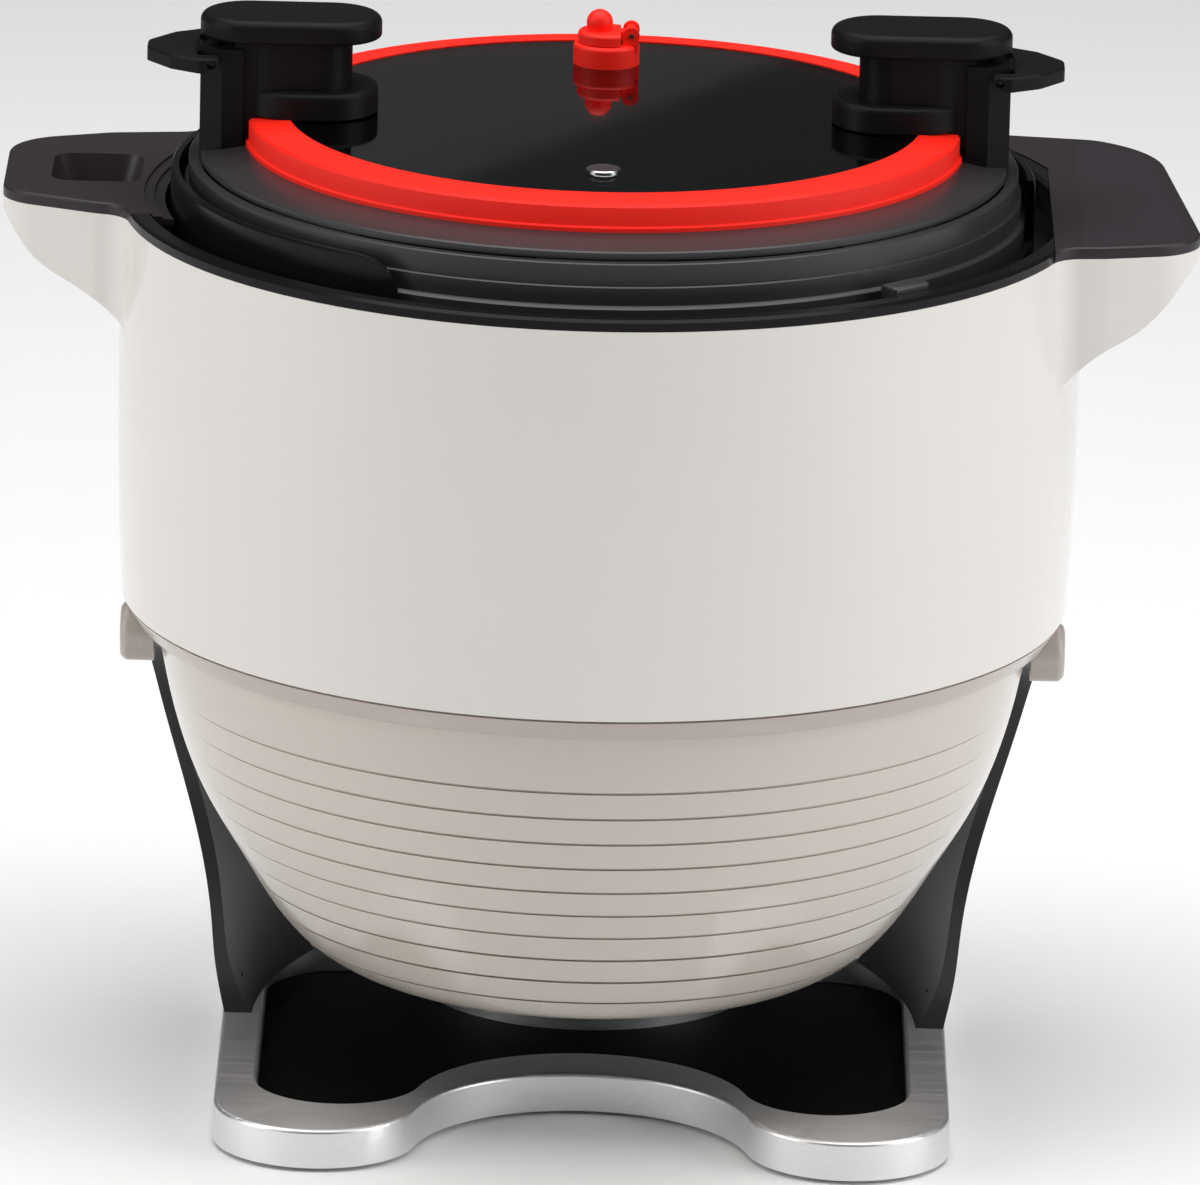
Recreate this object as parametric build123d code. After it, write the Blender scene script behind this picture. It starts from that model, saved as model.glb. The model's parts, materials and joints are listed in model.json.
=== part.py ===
"""Electric pressure cooker with a glass lid, carried between two arms on a low stand.

Millimetres, +Z up, -Y is the front.  The origin is on the table, under the cooker's axis.
Radii are worked out from the inner pot outwards, and heights from the table upwards.
"""
import os
from collections import namedtuple
from math import cos, radians, sin, sqrt

from build123d import *

# Clearances
GAP = 0.3            # between pieces that move past each other
RUN = 0.06           # radial clearance of a shaft in its bush
SNUG = 0.2           # between pieces of one body that are let into each other

# Inner pot, and the rings around it from the pot outwards
POT_RADIUS = 111.5
POT_WALL = 2.0
POT_LIP = 22.5
POT_CORNER = 22.0
LID_STEP = 4.0       # how far the lid reaches past the pot's lip
LID_TOOTH = 3.0
LOCK_WALL = 3.4
LOCK_RAIL = 2.8
GUARD_WALL = 2.8
TROUGH_WIDTH = 9.0
TROUGH_WALL = 3.0
SHELL_WALL = 3.3
SHELL_BELLY = 1.5    # how far the shell swells between its ends
TRIM_PROUD = 0.7     # how far the rim trim stands out from the shell

# Heights
FOOT_DROP = 1.5      # rubber feet below the base ring
BASE_HEIGHT = 13.5
BOWL_LIFT = 30.0     # lower bowl above the base ring
BOWL_HEIGHT = 120.0
BAND_HEIGHT = 8.0
SHELL_HEIGHT = 135.0
TRIM_HEIGHT = 4.0

# Lower bowl
BAND_LEAN = 5.0      # the seam band tapers inwards by this
BOWL_STEP = 7.0      # band's lower edge to the bowl
BOWL_DRAW = 63.0     # bowl's top radius less its bottom radius
BOWL_WALL = 2.5
RIB_COUNT = 11
RIB_PITCH = 9.7
RIB_FIRST = 22.0     # first groove below the seam
RIB_WIDTH = 0.9
RIB_DEPTH = 0.9
RIB_FADE = 68.0      # degrees either side of the front where the grooves run out

# Stand
STAND_INSET = 25.0   # bowl's top radius less the stand's half width
STAND_CORNER_Y = 90.0
STAND_CORNER = 35.0
STAND_WAIST = 54.0
STAND_BAND = 14.0    # width of the ring at its sides
WINDOW_CORNER_Y = 65.5
WINDOW_CORNER = 28.0
WINDOW_WAIST = 30.0
FLOOR_THICK = 2.6
FOOT_RADIUS = 9.0
ARM_THICK = 4.6
ARM_SWEEP = 70.0     # the arms curve about a line this far past the axis
ARM_FOOT = 5.0       # extra thickness where an arm stands on the ring

# Tilt pivots
PIVOT_DROP = 10.5    # tilt axis below the band
PIVOT_CAP_DEPTH = 11.7
PIN_RADIUS = 4.0
BUSH_WALL = 1.5
EYE_RADIUS = 8.0

# Side handles
HANDLE_REACH = 42.0
HANDLE_BACK = 24.0   # boards and pocket sit behind the axis by this
ROOT_REACH = 8.0     # where a handle's root is measured, past the shell
KNEE_RADIUS = 18.0
JOIN_RADIUS = 12.0
# Y of a handle's front and rear edges at its tip and at its root, the radii of its two tip corners, how far
# its rear tip corner is set in, and the steps of its underside
Handle = namedtuple("Handle", "front rear root_front root_rear front_round rear_round rear_inset drops")
LEFT = Handle(-6.0, 66.0, -21.5, 79.0, 17.0, 24.0, 0.0,
              ((0.0, 4.0), (6.0, 12.5), (12.5, 19.5), (23.0, 25.5), (33.0, 31.5), (44.0, 42.0), (60.0, 64.0)))
RIGHT = Handle(-42.0, 86.0, -51.0, 101.0, 20.0, 46.0, 13.0,
               ((0.0, 4.5), (5.0, 13.0), (10.0, 20.0), (16.0, 26.0), (27.0, 33.0), (36.0, 41.0), (44.0, 52.0),
                (60.0, 78.0)))
POCKET_IN = 31.5     # pocket's centre in from the handle's tip
POCKET_LENGTH = 26.0
POCKET_WIDTH = 34.0
POCKET_DEPTH = 14.0
BAY_INSET = 9.5      # hollow under a handle cover, in from the tip
BAY_DEPTH = 12.5
BAY_FRONT = 13.0     # and in from the handle's front and rear edges
BAY_REAR = 18.0
PANEL_INSET = 5.0    # touch panel in from the right cover's edge
APRON_GAP = 1.6      # left cover's inner edge to the guard wall
CHORD_X = 153.5      # straight inner edge of the right cover

# Collar
TROUGH_DEPTH = 7.0
GUARD_RISE = 14.0    # guard wall above the shell's top edge
WINDOW_LEFT = 28.0   # degrees left of the front
WINDOW_RIGHT = 84.0  # degrees right of the front
SEAT_RISE = 7.7      # pot seat above the shell's top edge

# Lock ring
TOOTH_COUNT = 8
TOOTH_ARC = 18.0
KNOB_ANGLE = 42.0    # degrees right of the front
KNOB_WIDTH = 16.0
KNOB_HEIGHT = 9.0

# Lid
LIP_RISE = 10.0      # top of the pot's lip above the shell's top edge
LID_EDGE = 2.7       # thickness of the lid's outer edge
LID_SLOPE = 2.8
SEAL_FOOT = 11.5     # rim seal's outer radius past the pot
SEAL_WIDTH = 14.4
SEAL_HEIGHT = 10.5
GLASS_THICK = 4.0
GLASS_GRIP = 1.9     # how far the rim seal laps over the glass
GASKET_DEPTH = 5.2
GASKET_WIDTH = 10.0
BADGE_RADIUS = 5.85
BADGE_OUT = 77.0

# Lid handles
CAP_LENGTH = 62.0
CAP_WIDTH = 35.0
CAP_THICK = 8.0
CAP_OVERHANG = 0.6   # grip cap past the lid's edge
GRIP_HEIGHT = 26.0   # underside of the grip cap above the glass
POST_IN = 0.3        # post's inner face to the rim seal
POST_WIDTH = 29.0
POST_NOSE = 19.0     # width of the post's outer face
PIN_INSET = 4.4      # lever pin in from the cap's end
LEVER_LENGTH = 26.0
LEVER_THICK = 5.0
LEVER_PIN = 1.5
HUB_RADIUS = 3.5
HUB_WIDTH = 16.0

# Steam vent
VENT_BACK = 77.0
VENT_RADIUS = 11.5
VENT_SEAT = 7.5
VENT_PIN_OUT = 8.5
VENT_PIN = 0.9

# Working parts under the pot
PLATE_RADIUS = 85.0
PLATE_THICK = 10.0
PLATE_STAND = 20.0
ELEMENT_RADIUS = 60.0
ELEMENT_TUBE = 3.5
LINER_GAP = 2.5
LINER_WALL = 1.2
POT_FLOOR_DROP = 37.0  # pot's underside below the band
SENSOR_RADIUS = 10.0

# Radii that follow
POT_LIP_R = POT_RADIUS + POT_LIP
LID_R = POT_LIP_R + LID_STEP
LID_NECK_R = LID_R - LID_TOOTH
LOCK_R = LID_R + 2 * GAP
LOCK_WALL_R = LOCK_R + LOCK_WALL
RAIL_R = LOCK_WALL_R + LOCK_RAIL
GUARD_IN_R = RAIL_R + GAP + 0.1
GUARD_R = GUARD_IN_R + GUARD_WALL
TROUGH_R = GUARD_R + TROUGH_WIDTH
COLLAR_R = TROUGH_R + TROUGH_WALL
SHELL_TOP_R = COLLAR_R + SNUG + SHELL_WALL
SHELL_MID_R = SHELL_TOP_R + SHELL_BELLY
SHELL_FOOT_R = SHELL_TOP_R - 0.5
BAND_R = SHELL_FOOT_R - BAND_LEAN
BOWL_R = BAND_R - BOWL_STEP
LINER_IN_R = POT_RADIUS + LINER_GAP
LINER_R = LINER_IN_R + LINER_WALL
MOUTH_R = LINER_R + 3.3
TIP_X = SHELL_TOP_R + HANDLE_REACH

# Heights that follow
BASE_TOP = FOOT_DROP + BASE_HEIGHT
BOWL_Z = BASE_TOP + BOWL_LIFT
BAND_Z = BOWL_Z + BOWL_HEIGHT
SEAM_Z = BAND_Z + BAND_HEIGHT
RIM_Z = SEAM_Z + SHELL_HEIGHT
TRIM_Z = RIM_Z + TRIM_HEIGHT
TROUGH_Z = RIM_Z - TROUGH_DEPTH
COLLAR_Z = TROUGH_Z - 2.0
CHANNEL_Z = TROUGH_Z + 2.0
GUARD_Z = RIM_Z + GUARD_RISE
SEAT_Z = RIM_Z + SEAT_RISE
LIP_Z = RIM_Z + LIP_RISE
LIP_THICK = 2.0
POT_FLOOR_Z = BAND_Z - POT_FLOOR_DROP
AXIS_Z = BAND_Z - PIVOT_DROP
TOOTH_Z = LIP_Z + 0.8            # underside of the lid's teeth
TOOTH_TOP_Z = TOOTH_Z + 3.5
LOCK_TOOTH_Z = TOOTH_TOP_Z + GAP
LOCK_TOP_Z = LOCK_TOOTH_Z + 3.0
LID_EDGE_Z = LOCK_TOP_Z + GAP + 0.1
LID_TOP_Z = LID_EDGE_Z + LID_EDGE
LID_PLANE_Z = LID_TOP_Z + LID_SLOPE
GLASS_Z = LID_PLANE_Z + SEAL_HEIGHT - 4.6
GLASS_TOP_Z = GLASS_Z + GLASS_THICK
SEAL_TOP_Z = LID_PLANE_Z + SEAL_HEIGHT
SEAL_OUT_R = POT_RADIUS + SEAL_FOOT
SEAL_IN_R = SEAL_OUT_R - SEAL_WIDTH
GLASS_R = SEAL_IN_R + GLASS_GRIP
CAP_Z = GLASS_TOP_Z + GRIP_HEIGHT
PLATE_TOP_Z = POT_FLOOR_Z - GAP - 0.1
PLATE_Z = PLATE_TOP_Z - PLATE_THICK
LINER_Z = PLATE_Z - PLATE_STAND

# Stand sizes that follow
STAND_X = BOWL_R - STAND_INSET
PIVOT_X = BOWL_R + GAP
PIVOT_CAP_R = PIVOT_DROP - GAP

nodes = {}


def profile(*points):
    """Closed face in the XZ plane through (radius, height) points."""
    return Plane.XZ * make_face(Polyline(*points, close=True).edges())


def turned(*points, angle=360.0):
    """Solid of revolution about the cooker's axis from (radius, height) points."""
    return revolve(profile(*points), Axis.Z, angle)


def risen(face, height):
    """Plan outline raised into a solid, always upwards."""
    return extrude(face, height, dir=(0, 0, 1))


def band(inner, outer, low, high):
    """Plain ring between two radii and two heights."""
    return Pos(0, 0, low) * extrude(Circle(outer) - Circle(inner), high - low)


def sector(inner, outer, low, high, middle, arc):
    """Part of a ring, centred on an angle in degrees from +X."""
    block = turned((inner, low), (outer, low), (outer, high), (inner, high), angle=arc)
    return Rot(0, 0, middle - arc / 2) * block


def slab(x0, x1, y0, y1, z0, z1):
    """Box between two corners."""
    return Pos((x0 + x1) / 2, (y0 + y1) / 2, (z0 + z1) / 2) * Box(x1 - x0, y1 - y0, z1 - z0)


def rod_x(radius, x0, x1, y=0.0, z=0.0):
    """Cylinder along X."""
    return Pos((x0 + x1) / 2, y, z) * Rot(0, 90, 0) * Cylinder(radius, x1 - x0)


def rod_y(radius, y0, y1, x=0.0, z=0.0):
    """Cylinder along Y."""
    return Pos(x, (y0 + y1) / 2, z) * Rot(90, 0, 0) * Cylinder(radius, y1 - y0)


def rod_z(radius, z0, z1, x=0.0, y=0.0):
    """Cylinder along Z."""
    return Pos(x, y, (z0 + z1) / 2) * Cylinder(radius, z1 - z0)


def screw(x, y, head_z, tip_z, shank=2.0, head=3.8):
    """Slotted flat-headed screw along Z; the head is at head_z and the point at tip_z."""
    up = 1 if tip_z > head_z else -1
    head_end = head_z + up * 2.2
    low, high = sorted((head_z, head_end))
    shaft_low, shaft_high = sorted((head_end, tip_z))
    slot = slab(x - 0.5, x + 0.5, y - 3, y + 3, min(head_z, head_z + up), max(head_z, head_z + up))
    return rod_z(head, low, high, x, y) - slot + rod_z(shank, shaft_low, shaft_high, x, y)


def mirrored(solid):
    """The same piece on the other side of the cooker."""
    return mirror(solid, Plane.YZ)


def keep(name, *solids):
    """Store a node's solids under its name."""
    nodes[name] = list(solids)


# ---------------------------------------------------------------- stand

def hourglass(half_width, corner_y, corner, waist):
    """Waisted plan outline: straight sides, round corners, hollow front and back."""
    cx = half_width - corner
    drop = corner_y - waist
    hollow = (cx ** 2 + drop ** 2 - corner ** 2) / (2 * (corner + drop))
    reach = hollow + corner
    ux = cx / reach
    uy = (waist + hollow - corner_y) / reach
    tx = hollow * ux
    ty = waist + hollow - hollow * uy
    sx = corner * sin(radians(45))
    lines = []
    for side in (1, -1):
        lines.append(ThreePointArc((-tx, side * ty), (0, side * waist), (tx, side * ty)))
    for side in (1, -1):
        lines.append(Line((side * half_width, -corner_y), (side * half_width, corner_y)))
        for end in (1, -1):
            start = (side * tx, end * ty)
            middle = (side * (cx + sx), end * (corner_y + sx))
            lines.append(ThreePointArc(start, middle, (side * half_width, end * corner_y)))
    return make_face(lines)


def foot_places():
    """Centres of the four rubber feet, under the ring's corners."""
    x = STAND_X - STAND_CORNER + 8
    y = STAND_CORNER_Y + 15.5
    return [(sx * x, sy * y) for sx in (-1, 1) for sy in (-1, 1)]


def floor_screw_places():
    """Centres of the four screws that hold the floor plate."""
    x = STAND_X - STAND_BAND + 2.2
    return [(sx * x, sy * 52.0) for sx in (-1, 1) for sy in (-1, 1)]


def arm_screw_places():
    """Centres of the screws that hold each arm, as (X, Y) on the right side."""
    return [(STAND_X - 5.2, 24.0), (STAND_X - 6.8, 50.0)]


def build_stand():
    """Base ring, floor plate, feet and their screws."""
    outer = hourglass(STAND_X, STAND_CORNER_Y, STAND_CORNER, STAND_WAIST)
    window_x = STAND_X - STAND_BAND
    window = hourglass(window_x, WINDOW_CORNER_Y, WINDOW_CORNER, WINDOW_WAIST)
    ring = Pos(0, 0, FOOT_DROP) * risen(outer, BASE_HEIGHT)
    ring = fillet(ring.faces().sort_by(Axis.Z)[-1].edges(), 1.6)
    ring -= Pos(0, 0, FOOT_DROP) * risen(window, BASE_HEIGHT + 1)
    ring = chamfer(ring.faces().sort_by(Axis.Z)[-1].inner_wires()[0].edges(), 1.0)
    rebate_depth = 2.8
    rebate = offset(window, 5.0)
    ring -= Pos(0, 0, FOOT_DROP) * risen(rebate, rebate_depth)
    floor_z = FOOT_DROP + rebate_depth - FLOOR_THICK
    floor = Pos(0, 0, floor_z) * risen(offset(window, 5.0 - SNUG), FLOOR_THICK)
    feet = []
    for x, y in foot_places():
        ring -= rod_z(FOOT_RADIUS + 0.05, FOOT_DROP - 1, FOOT_DROP + 2, x, y)
        foot = rod_z(FOOT_RADIUS, 0, FOOT_DROP + 2, x, y)
        feet.append(fillet(foot.faces().sort_by(Axis.Z)[0].edges(), 0.8))
    floor_screws = []
    head_z = floor_z - 0.1
    for x, y in floor_screw_places():
        ring -= rod_z(1.5, FOOT_DROP, FOOT_DROP + 9, x, y)
        floor -= rod_z(1.5, 0, 10, x, y)
        floor -= rod_z(2.4, 0, head_z + 1.5, x, y)
        head = rod_z(2.35, head_z, head_z + 1.5, x, y)
        floor_screws.append(head + rod_z(1.5, head_z + 1.5, head_z + 8, x, y))
    for side in (-1, 1):
        for x, y in arm_screw_places():
            ring -= rod_z(1.5, 0, 20, side * x, y)
            ring -= rod_z(2.9, 0, FOOT_DROP + 6, side * x, y)
    keep("base_ring", ring)
    keep("base_floor", floor)
    keep("rubber_feet", *feet)
    keep("floor_screws", *floor_screws)


def arm_side_outline():
    """Crescent outline of an arm seen from the side, ending in the pivot's eye."""
    foot = BASE_TOP
    tall = AXIS_Z - foot
    front = Spline((7, foot), (30, foot + 0.19 * tall), (50, foot + 0.46 * tall), (44, foot + 0.76 * tall),
                   (0, AXIS_Z - EYE_RADIUS), tangents=((0.2, 1), (-1, 0)))
    rear = Spline((0, AXIS_Z + EYE_RADIUS), (46, foot + 0.9 * tall), (76, foot + 0.62 * tall),
                  (86, foot + 0.3 * tall), (84, foot), tangents=((1, 0), (-0.05, -1)))
    nose = ThreePointArc((0, AXIS_Z - EYE_RADIUS), (-EYE_RADIUS, AXIS_Z), (0, AXIS_Z + EYE_RADIUS))
    sole = Line((84, foot), (7, foot))
    return make_face([front, nose, rear, sole])


def arm_wall(low_r, high_r):
    """Outer curve of an arm from the ring up to the pivot, as (X, Z) points."""
    rise = AXIS_Z - BASE_TOP
    out = high_r - low_r
    return [(low_r, BASE_TOP), (low_r + 0.18 * out, BASE_TOP + 0.14 * rise),
            (low_r + 0.42 * out, BASE_TOP + 0.3 * rise), (low_r + 0.8 * out, BASE_TOP + 0.56 * rise),
            (high_r, AXIS_Z - 16)]


def build_arms():
    """Left and right arms, pivot caps, bushes and arm screws."""
    high_x = PIVOT_X + ARM_THICK
    outer = arm_wall(STAND_X - 0.6, high_x)
    top = AXIS_Z + EYE_RADIUS + 1
    shift = ARM_SWEEP
    wall = [(x + shift, z) for x, z in outer]
    outside = Spline(*wall)
    inner = [(x - ARM_THICK, z) for x, z in wall[1:]]
    foot_in = (wall[0][0] - ARM_THICK - ARM_FOOT, BASE_TOP)
    inside = Spline(foot_in, *inner)
    outer_top = (wall[-1][0], top)
    inner_top = (inner[-1][0], top)
    lines = [outside, Line(wall[-1], outer_top), Line(outer_top, inner_top), Line(inner_top, inner[-1]),
             inside, Line(foot_in, wall[0])]
    section = Plane.XZ * make_face(lines)
    sheet = Rot(0, 0, -50) * revolve(section, Axis.Z, 100)
    sheet = Pos(-shift, 0, 0) * sheet
    crescent = Plane.YZ * arm_side_outline()
    arm = sheet & extrude(crescent, 400, dir=(1, 0, 0))
    eye_in = PIVOT_X + 0.6
    arm += rod_x(EYE_RADIUS, eye_in, high_x, 0, AXIS_Z)
    bush_r = PIN_RADIUS + RUN + BUSH_WALL
    arm -= rod_x(bush_r, PIVOT_X - 20, high_x + 20, 0, AXIS_Z)
    for x, y in arm_screw_places():
        arm -= rod_z(1.5, BASE_TOP - 1, BASE_TOP + 9, x, y)
    cap = rod_x(PIVOT_CAP_R, PIVOT_X, PIVOT_X + PIVOT_CAP_DEPTH, 0, AXIS_Z)
    cap = fillet(cap.faces().sort_by(Axis.X)[-1].edges(), 3.0)
    cap -= arm
    cap -= rod_x(bush_r, PIVOT_X - 20, high_x + 0.8, 0, AXIS_Z)
    cap = cap.solids().sort_by(SortBy.VOLUME)[-1]
    bush = rod_x(bush_r, PIVOT_X + 0.1, high_x, 0, AXIS_Z) - rod_x(PIN_RADIUS + RUN, 0, 400, 0, AXIS_Z)
    screws = [screw(x, y, FOOT_DROP + 3.8, BASE_TOP + 8, 1.5, 2.8) for x, y in arm_screw_places()]
    keep("right_arm", arm)
    keep("left_arm", mirrored(arm))
    keep("right_pivot_cap", cap)
    keep("left_pivot_cap", mirrored(cap))
    keep("tilt_bushes", bush, mirrored(bush))
    keep("arm_screws", *screws, *[mirrored(one) for one in screws])


# ---------------------------------------------------------------- pot body

def handle_plan(side):
    """Plan outline of the cooker's top with one side handle; side is -1 left, 1 right."""
    form = LEFT if side < 0 else RIGHT
    root_x = SHELL_TOP_R + ROOT_REACH
    deep_x = 0.7 * SHELL_TOP_R
    corners = [(TIP_X, form.front), (TIP_X - form.rear_inset, form.rear), (root_x, form.root_rear),
               (deep_x, form.root_rear + 8), (deep_x, form.root_front - 6), (root_x, form.root_front)]
    paddle = risen(make_face(Polyline(*corners, close=True).edges()), 10)
    for place, radius in ((0, form.front_round), (1, form.rear_round), (2, KNEE_RADIUS), (5, KNEE_RADIUS)):
        x, y = corners[place]
        uprights = paddle.edges().filter_by(Axis.Z)
        picked = [edge for edge in uprights if abs(edge.center().X - x) + abs(edge.center().Y - y) < 0.1]
        paddle = fillet(picked, radius)
    reach = SHELL_TOP_R + TRIM_PROUD
    block = extrude(Circle(reach), 10) + paddle
    uprights = block.edges().filter_by(Axis.Z)
    joins = [edge for edge in uprights if edge.center().X > 0
             and abs(sqrt(edge.center().X ** 2 + edge.center().Y ** 2) - reach) < 0.01]
    block = fillet(joins, JOIN_RADIUS)
    plan = Pos(0, 0, -10) * block.faces().sort_by(Axis.Z)[-1]
    return plan if side > 0 else mirror(plan, Plane.YZ)


def corbel(side):
    """Solid bracket under a side handle, with a scooped underside; its flat top is the shell's top edge."""
    form = LEFT if side < 0 else RIGHT
    points = [(TIP_X - inward, RIM_Z - drop) for inward, drop in ((-24.0, 1.5),) + form.drops]
    outer_r = points[0][0]
    inner_r = points[-1][0]
    lines = [Spline(*points), Line(points[-1], (inner_r, RIM_Z)), Line((inner_r, RIM_Z), (outer_r, RIM_Z)),
             Line((outer_r, RIM_Z), points[0])]
    dish = revolve(Plane.XZ * make_face(lines), Axis.Z)
    half = slab(*sorted((0, side * 400)), -400, 400, 0, RIM_Z + 1)
    return (risen(handle_plan(side), RIM_Z) & half) & dish


def shell_outline(shrink):
    """Face of the upper shell's wall line, from the axis out to its surface."""
    foot = (SHELL_FOOT_R - shrink, SEAM_Z)
    middle = (SHELL_MID_R - shrink, SEAM_Z + SHELL_HEIGHT / 2)
    top = (SHELL_TOP_R - shrink, RIM_Z)
    lines = [ThreePointArc(foot, middle, top), Line(top, (0, RIM_Z)), Line((0, RIM_Z), (0, SEAM_Z)),
             Line((0, SEAM_Z), foot)]
    return Plane.XZ * make_face(lines)


def inlet_box(grow):
    """Block that the power inlet's flange fills in the back of the shell."""
    face_y = SHELL_MID_R - 2.6
    z = SEAM_Z + 22
    return slab(-25 - grow, 25 + grow, face_y - 40, face_y + 10, z - 14 - grow, z + 14 + grow)


def build_shell():
    """White upper shell with the two corbels, and the seam band under it."""
    shell = revolve(shell_outline(0), Axis.Z)
    hollow = revolve(shell_outline(SHELL_WALL), Axis.Z)
    for side in (-1, 1):
        form = LEFT if side < 0 else RIGHT
        shell += corbel(side)
        reach = sorted((side * (SHELL_TOP_R - 12), side * (TIP_X - BAY_INSET)))
        bay = slab(*reach, form.front + BAY_FRONT, form.rear - BAY_REAR, RIM_Z - BAY_DEPTH, RIM_Z + 1)
        hollow += bay & rod_z(TIP_X - BAY_INSET, 0, RIM_Z + 1)
    shell -= hollow
    shell -= inlet_box(SNUG)
    seam = turned((SHELL_FOOT_R - 2.0, SEAM_Z), (SHELL_FOOT_R - 2.0, SEAM_Z - 0.7),
                  (SHELL_FOOT_R - 0.6, SEAM_Z - 0.9), (BAND_R + 0.4, BAND_Z + 0.8), (BAND_R - 0.6, BAND_Z),
                  (BOWL_R + 0.05, BAND_Z), (BOWL_R + 0.05, SEAM_Z))
    keep("upper_shell", shell)
    keep("seam_band", seam)


def bowl_face(grow=0.0, floor=0.0):
    """Half section of the lower bowl as a solid, grown outwards by a distance."""
    steps = [(0.0, 0.0), (0.19, 0.065), (0.37, 0.16), (0.53, 0.29), (0.68, 0.46), (0.92, 0.78)]
    points = [(BOWL_R - BOWL_DRAW * inward + grow, BAND_Z - BOWL_HEIGHT * down) for down, inward in steps]
    bottom = (BOWL_R - BOWL_DRAW + grow - 1.0, BOWL_Z + floor)
    wall = Spline(*points, bottom)
    top = (points[0][0], SEAM_Z - 1)
    lines = [wall, Line(points[0], top), Line(top, (0, SEAM_Z - 1)), Line((0, SEAM_Z - 1), (0, bottom[1])),
             Line((0, bottom[1]), bottom)]
    return Plane.XZ * make_face(lines)


def build_bowl():
    """Ribbed lower bowl and the cover that closes it underneath."""
    bowl = revolve(bowl_face(), Axis.Z)
    bowl = fillet(bowl.faces().sort_by(Axis.Z)[0].edges(), 5.0)
    bowl -= revolve(bowl_face(-BOWL_WALL, BOWL_WALL), Axis.Z)
    bowl = bowl.solids().sort_by(SortBy.VOLUME)[-1]
    fade = cos(radians(RIB_FADE))
    slide = RIB_DEPTH / (1 - fade)
    groove_floor = Pos(0, slide, 0) * revolve(bowl_face(slide * fade, -5), Axis.Z)
    slots = []
    for index in range(RIB_COUNT):
        z = BAND_Z - RIB_FIRST + RIB_WIDTH / 2 - index * RIB_PITCH
        slots.append(slab(-200, 200, -200, 0, z - RIB_WIDTH, z))
    slots = [slot - groove_floor for slot in slots]
    for slot in slots:
        bowl -= slot
    opening = BOWL_R - BOWL_DRAW - 12
    bowl -= rod_z(opening, BOWL_Z - 1, BOWL_Z + BOWL_WALL + 1)
    bowl -= rod_x(PIN_RADIUS + SNUG, -BOWL_R - 5, BOWL_R + 5, 0, AXIS_Z)
    cover = rod_z(opening - SNUG, BOWL_Z + 0.3, BOWL_Z + BOWL_WALL)
    cover += rod_z(opening + 5, BOWL_Z + BOWL_WALL, BOWL_Z + BOWL_WALL + 2)
    for row in range(-4, 5):
        half = sqrt((opening - 14) ** 2 - (row * 9.0) ** 2)
        cover -= slab(-half, half, row * 9.0 - 1.5, row * 9.0 + 1.5, 0, BOWL_Z + 10)
    cover -= rod_z(9, 0, 100)
    cover += rod_z(9, BOWL_Z + 0.3, BOWL_Z + BOWL_WALL + 2)
    screws = []
    for quarter in range(4):
        angle = radians(45 + 90 * quarter)
        x = (opening - 6) * cos(angle)
        y = (opening - 6) * sin(angle)
        cover -= rod_z(3.9, 0, BOWL_Z + 2.5, x, y)
        cover -= rod_z(2.0, 0, BOWL_Z + 10, x, y)
        screws.append(screw(x, y, BOWL_Z + 0.3, BOWL_Z + 14))
    keep("lower_bowl", bowl)
    keep("bottom_cover", cover)
    keep("bottom_screws", *screws)


def handle_zone(side, low_z, clear=0.0):
    """Block that holds one side handle's cover, from low_z up, and keeps it off the rim trim."""
    form = LEFT if side < 0 else RIGHT
    low = form.root_front - 14.0
    high = min(form.root_rear + 22.0, 0.9 * SHELL_TOP_R)
    block = slab(20, TIP_X + 10, low + clear, high - clear, low_z, TRIM_Z + 1)
    block -= rod_z(GUARD_R + APRON_GAP + clear, 0, 500)
    if side > 0:
        inside = rod_z(SHELL_TOP_R + TRIM_PROUD + clear, 0, 500) & slab(0, CHORD_X + clear, -400, 400, 0, 500)
        block -= inside
    return block if side > 0 else mirrored(block)


def window_cutter():
    """Opening in the guard wall, with a softly curved left end."""
    sill = TROUGH_Z + 3.5
    left = -GUARD_R * sin(radians(WINDOW_LEFT))
    right = GUARD_R * sin(radians(WINDOW_RIGHT))
    top = GUARD_Z + 1
    curve = Spline((left - 14, GUARD_Z), (left, GUARD_Z - 6), (left + 10, sill), tangents=((1, 0), (1, 0)))
    lines = [curve, Line((left + 10, sill), (right, sill)), Line((right, sill), (right, top)),
             Line((right, top), (left - 14, top)), Line((left - 14, top), (left - 14, GUARD_Z))]
    return extrude(Plane.XZ * make_face(lines), 400, dir=(0, -1, 0))


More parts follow.
